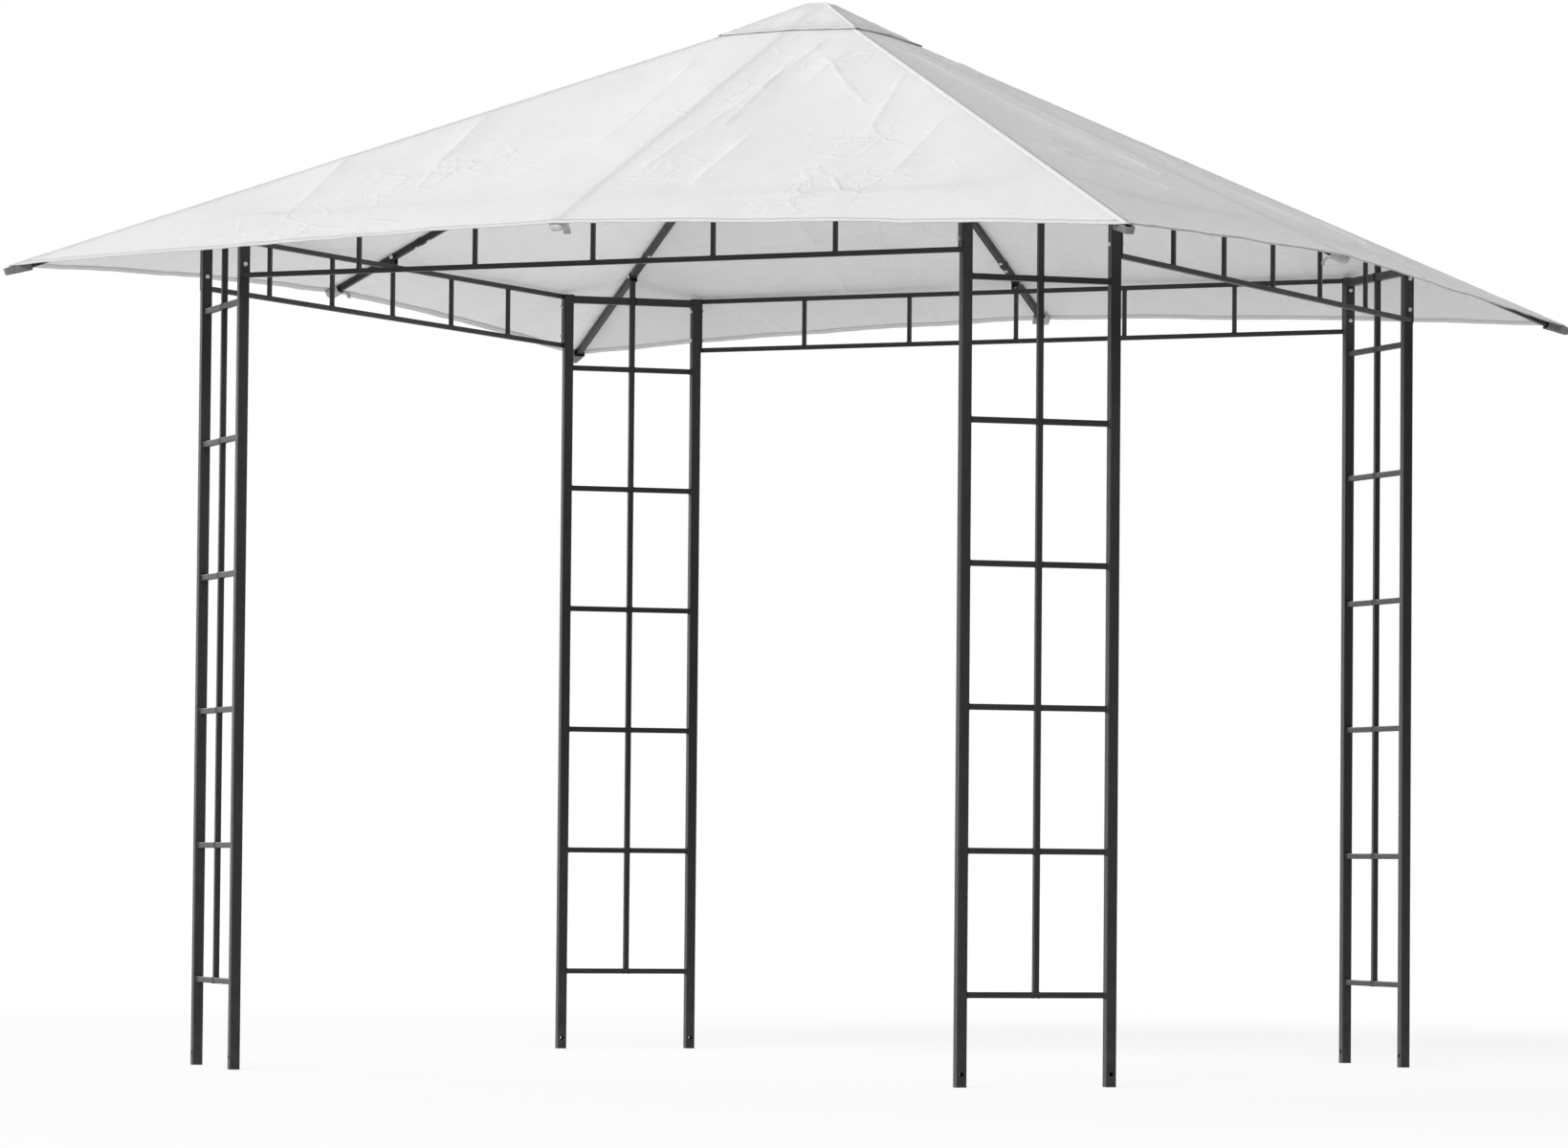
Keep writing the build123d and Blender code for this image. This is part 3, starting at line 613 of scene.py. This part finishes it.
def polyester(name, shade_low, shade_high, see_through, thread, crumple, amount):
    """Coated woven polyester, read from the cloth's own flat cut."""
    material, tree = bare_material(name)
    cut = add_node(tree, "UVMap", uv_map="flat_cut").outputs["UV"]
    weave = add_node(tree, "Group", node_tree=woven_cloth)
    tree.links.new(cut, weave.inputs["Position"])
    weave.inputs["Thread"].default_value = thread
    folds = add_node(tree, "Group", node_tree=crumples)
    tree.links.new(cut, folds.inputs["Position"])
    folds.inputs["Amount"].default_value = amount
    tone = add_node(tree, "MapRange", {"Value": weave.outputs["Slub"], "From Min": 0.35,
                                       "From Max": 0.65})
    shade = add_node(tree, "Mix", {"Factor": tone.outputs["Result"], "A": (*shade_low, 1),
                                   "B": (*shade_high, 1)}, data_type="RGBA")
    weave_relief = add_node(tree, "Bump", {"Height": weave.outputs["Height"],
                                           "Strength": 0.35, "Distance": thread * 0.12})
    slub_relief = add_node(tree, "Bump", {"Height": weave.outputs["Slub"], "Strength": 1.0,
                                          "Distance": 0.0006,
                                          "Normal": weave_relief.outputs["Normal"]})
    relief = add_node(tree, "Bump", {"Height": folds.outputs["Height"], "Strength": 1.0,
                                     "Distance": crumple,
                                     "Normal": slub_relief.outputs["Normal"]})
    rough = add_node(tree, "MapRange", {"Value": weave.outputs["Slub"], "To Min": 0.62,
                                        "To Max": 0.82})
    face = add_node(tree, "BsdfPrincipled", {"Base Color": shade.outputs["Result"],
                                             "Roughness": rough.outputs["Result"],
                                             "Sheen Weight": 0.1,
                                             "Normal": relief.outputs["Normal"]})
    through = add_node(tree, "BsdfTranslucent", {"Color": shade.outputs["Result"],
                                                 "Normal": relief.outputs["Normal"]})
    skin = add_node(tree, "MixShader", {"Fac": see_through, 1: face.outputs[0],
                                        2: through.outputs[0]})
    add_node(tree, "OutputMaterial", {"Surface": skin.outputs[0]})
    return material


white_polyester = polyester("white_polyester", (0.83, 0.83, 0.83), (0.90, 0.90, 0.90), 0.42,
                            0.0012, 0.0022, 0.38)


def thicken(piece, thickness, offset):
    """Gives a sheet its wall, inwards at -1 and outwards at 1."""
    wall = piece.modifiers.new("cloth_thickness", "SOLIDIFY")
    wall.thickness, wall.offset, wall.use_even_offset = thickness, offset, True


cloth_wall, doubled_wall, seam_wall = 0.0012, 0.0024, 0.0026
canopy_cloth = new_piece("canopy_cloth", cloth, white_polyester)
thicken(canopy_cloth, cloth_wall, -1)
# the hem and the seams are the roof's cloth doubled, which lets less light through; their darker
# white is a painted shade over them
doubled_polyester_painted_shade = polyester("doubled_polyester_painted_shade", (0.77, 0.77, 0.77), (0.83, 0.83, 0.83),
                              0.26, 0.0012, 0.0008, 0.6)
canopy_hem = new_piece("canopy_hem", hem, doubled_polyester_painted_shade)
thicken(canopy_hem, doubled_wall, -0.5)
hip_seams = new_piece("hip_seams", seams, doubled_polyester_painted_shade)
thicken(hip_seams, seam_wall, -0.3)

# ---- vent cap -------------------------------------------------------------------------
# A small square cap of the same cloth over the opening in the middle of the roof, sewn
# along its hips, hemmed, and tied down at its corners.
cap_overhang, cap_lift = 0.004, 0.0045
cap_half, cap_top_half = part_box("vent_cap")[1].x + cap_overhang, 0.0255
cap_cells = 52
cap = bmesh.new()
cap_cut = cap.loops.layers.uv.new("flat_cut")
bmesh.ops.create_grid(cap, x_segments=cap_cells, y_segments=cap_cells, size=cap_half)
for across in (Vector((1, 1, 0)).normalized(), Vector((1, -1, 0)).normalized()):
    for offset in (0.0, -seam_half / 2, seam_half / 2):
        near = [f for f in cap.faces if abs(f.calc_center_median().dot(across)) < 0.03]
        cut_across(cap, near, across * offset, across)
for v in cap.verts:
    side, along, out = on_side(v.co.x, v.co.y)
    down = max(out - cap_top_half, 0) / (cap_half - cap_top_half)
    share = abs(along) / max(out, 1e-6)
    edge = apex - mid_fall * cap_half - panel_fall * share * cap_half + cap_lift
    v.co.z = apex + (edge - apex) * down
    v.co.z -= 0.002 * math.sin(math.pi * share) * math.sin(math.pi * down)
    pucker = noise.noise(Vector((along * 42, out * 14, side * 5.0)))
    v.co.z += 0.0012 * pucker * ramp(down, 0.0, 0.25)
for f in cap.faces:
    middle = f.calc_center_median()
    side = on_side(middle.x, middle.y)[0]
    for loop in f.loops:
        x, y = loop.vert.co.xy
        loop[cap_cut].uv = ((x, y, -x, -y)[side] + side, (-y, x, y, -x)[side] * slope + 5)
cap_hem, cap_seams = cap.copy(), cap.copy()
cap_rim = cap_half * (1 - 2.5 * 2 / cap_cells)
inner = [f for f in cap_hem.faces
         if max(max(abs(v.co.x), abs(v.co.y)) for v in f.verts) < cap_rim + 0.001
         or min(max(abs(v.co.x), abs(v.co.y)) for v in f.verts) < cap_rim - 0.001]
bmesh.ops.delete(cap_hem, geom=inner, context="FACES")
away = [f for f in cap_seams.faces
        if max(beside_hip(v) for v in f.verts) > seam_half / 2 + 0.0005
        or max(abs(v.co.x) for v in f.verts) < cap_top_half]
bmesh.ops.delete(cap_seams, geom=away, context="FACES")
for v in cap_seams.verts:
    v.co.z += 0.0012 * noise.noise(v.co * 55)
vent_cap_cloth = new_piece("vent_cap_cloth", cap, white_polyester)
thicken(vent_cap_cloth, cloth_wall, -1)
# the cap's hem and seams carry the same painted shade
vent_cap_hem = new_piece("vent_cap_hem", cap_hem, doubled_polyester_painted_shade)
thicken(vent_cap_hem, doubled_wall, -0.5)
vent_cap_seams = new_piece("vent_cap_seams", cap_seams, doubled_polyester_painted_shade)
thicken(vent_cap_seams, doubled_wall, -0.5)

# ---- corner and side pockets ----------------------------------------------------------
# Cloth pockets sewn under the hem, into which the ends of the rafters push: square grey ones
# at the corners and rounded paler ones, each with a loose webbing tail, between. The rounded
# pockets and their tails are white cloth painted mid grey: a painted shade, standing in for
# the shade they hang in under the roof.
def roof_frame(angle, reach, drop=0.0):
    """Under the roof over a rafter: X down the slope, Z out of the cloth."""
    a = math.radians(angle)
    fall = hip_fall if angle % 90 else mid_fall
    flat = Vector((math.cos(a), math.sin(a), 0))
    down = (flat - Vector((0, 0, fall))).normalized()
    across = Vector((0, 0, 1)).cross(flat)
    origin = flat * reach + Vector((0, 0, apex - drop - fall * reach))
    turned = Matrix((down, across, down.cross(across))).transposed().to_4x4()
    return Matrix.Translation(origin) @ turned


def at_each(pattern, seats):
    """One bmesh with a copy of the pattern at each seat."""
    mesh = bpy.data.meshes.new("pattern")
    pattern.to_mesh(mesh)
    pattern.free()
    together = bmesh.new()
    for seat in seats:
        before = len(together.verts)
        together.from_mesh(mesh)
        together.verts.ensure_lookup_table()
        bmesh.ops.transform(together, matrix=seat, verts=together.verts[before:])
    bpy.data.meshes.remove(mesh)
    return together


under_cloth = 0.0042


def pocket(length, inner_width, outer_width, depth, nose, nose_depth, rounding):
    """A pocket open on top and towards the middle; its nose runs on past the seat."""
    bag = bmesh.new()
    bmesh.ops.create_cube(bag, size=1.0)
    for v in bag.verts:
        outer = v.co.x > 0
        v.co.x = nose if outer else -length
        v.co.y *= outer_width if outer else inner_width
        v.co.z = -under_cloth if v.co.z > 0 else -(nose_depth if outer else depth)
    opened = [f for f in bag.faces if f.calc_center_median().x < -0.99 * length
              or f.calc_center_median().z > -0.005]
    bmesh.ops.delete(bag, geom=opened, context="FACES")
    folds = [e for e in bag.edges if len(e.link_faces) == 2]
    bmesh.ops.bevel(bag, geom=folds, offset=rounding, segments=4, profile=0.5,
                    affect="EDGES", material=-1)
    bmesh.ops.subdivide_edges(bag, edges=[e for e in bag.edges if e.calc_length() > 0.012],
                              cuts=5, use_grid_fill=True)
    return bag


def sewn(bm, size):
    """Puckers sewn cloth and lays its weave by the place of each corner of a face."""
    for v in bm.verts:
        v.co += wander(v.co * 70) * size
    cut = bm.loops.layers.uv.new("flat_cut")
    for f in bm.faces:
        for loop in f.loops:
            co = loop.vert.co
            loop[cut].uv = (co.x + co.y, co.z + co.y - co.x)
    bmesh.ops.recalc_face_normals(bm, faces=bm.faces)
    return bm


grey_canvas = polyester("grey_pocket_canvas", (0.12, 0.12, 0.12), (0.18, 0.18, 0.18), 0.05,
                        0.0016, 0.0010, 0.7)
corner_angles, side_angles = (45, 135, 225, 315), (0, 90, 180, 270)
corner_seats = [roof_frame(angle, tip * math.sqrt(2)) for angle in corner_angles]
side_seats = [roof_frame(angle, hem_middle) for angle in side_angles]
corner_pockets = new_piece("corner_pockets",
                           sewn(at_each(pocket(0.052, 0.030, 0.021, 0.0270, 0.012,
                                               0.0205, 0.003),
                                        corner_seats), 0.0005),
                           grey_canvas)
canvas_wall, pocket_wall = 0.0016, 0.0014
thicken(corner_pockets, canvas_wall, 0)
# painted shade: the side pockets' white cloth is made mid grey for the shade it hangs in under the
# roof
pocket_cloth_painted_shade = polyester("pocket_cloth_painted_shade", (0.46, 0.46, 0.46), (0.58, 0.58, 0.58),
                              0.10, 0.0012, 0.0010, 0.6)
side_pockets = new_piece("side_pockets",
                         sewn(at_each(pocket(0.042, 0.036, 0.030, 0.0245, -0.003,
                                             0.0235, 0.008),
                                      side_seats), 0.0005),
                         pocket_cloth_painted_shade)
thicken(side_pockets, pocket_wall, 0)

tail_width, tail_length = 0.018, 0.022
tail_seat, tail_top = 0.052, 0.026          # in from the hem, and down from the cloth
tail = bmesh.new()
bmesh.ops.create_grid(tail, x_segments=4, y_segments=14, size=0.5)
for v in tail.verts:
    fall = 0.5 - v.co.y
    v.co = Vector((-tail_seat - 0.006 * math.sin(fall * 2.6), v.co.x * tail_width,
                   -tail_top - tail_length * fall))
# the tails take the same painted shade as the side pockets
webbing_tails = new_piece("webbing_tails", sewn(at_each(tail, side_seats), 0.0012),
                          pocket_cloth_painted_shade)
thicken(webbing_tails, pocket_wall, 0)
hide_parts("canopy")

# ---- cap ties -------------------------------------------------------------------------
# A short folded tab of grey cloth is sewn at each corner of the vent cap and holds it to
# the roof below.
tie_length, tie_width, tie_crown = 0.012, 0.009, 0.0010
tie = bmesh.new()
bmesh.ops.create_grid(tie, x_segments=8, y_segments=5, size=0.5)
for v in tie.verts:
    v.co = Vector((tie_length * v.co.x, tie_width * v.co.y,
                   tie_crown * math.cos(math.pi * v.co.x) * math.cos(math.pi * v.co.y)))
tie_reach = (cap_half - 0.003) * math.sqrt(2)
cap_ties = new_piece("cap_ties",
                     sewn(at_each(tie, [roof_frame(angle, tie_reach, -0.0030)
                                        for angle in corner_angles]), 0.0006),
                     grey_canvas)
thicken(cap_ties, pocket_wall, 0)
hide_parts("vent_cap")

# ---- rafter joint collars -------------------------------------------------------------
# A thin moulded sleeve, pushed over the joint between the two lengths of each rafter.
rafter_half, collar_length, collar_wall = 0.008, 0.014, 0.0007
hip_drop, mid_drop = 0.015559, 0.013578     # from the roof's plane down to a rafter's axis
seats = []
for name, angle in (("front", 270), ("front_right", 315), ("right", 0), ("back_right", 45),
                    ("back", 90), ("back_left", 135), ("left", 180), ("front_left", 225)):
    fall, drop = (hip_fall, hip_drop) if angle % 90 else (mid_fall, mid_drop)
    height = (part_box(name + "_rafter_inner")[0].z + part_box(name + "_rafter_outer")[1].z) / 2
    seats.append(roof_frame(angle, (apex - drop - height) / fall, drop))
collar = bmesh.new()
bmesh.ops.create_cube(collar, size=1.0)
bmesh.ops.scale(collar, vec=(collar_length, 2 * rafter_half, 2 * rafter_half),
                verts=collar.verts)
ends = [f for f in collar.faces if abs(f.calc_center_median().x) > 0.49 * collar_length]
bmesh.ops.delete(collar, geom=ends, context="FACES_ONLY")
bmesh.ops.recalc_face_normals(collar, faces=collar.faces)
joint_collars = new_piece("joint_collars", at_each(collar, seats), moulded_plastic,
                          smooth=False)
thicken(joint_collars, collar_wall, 1)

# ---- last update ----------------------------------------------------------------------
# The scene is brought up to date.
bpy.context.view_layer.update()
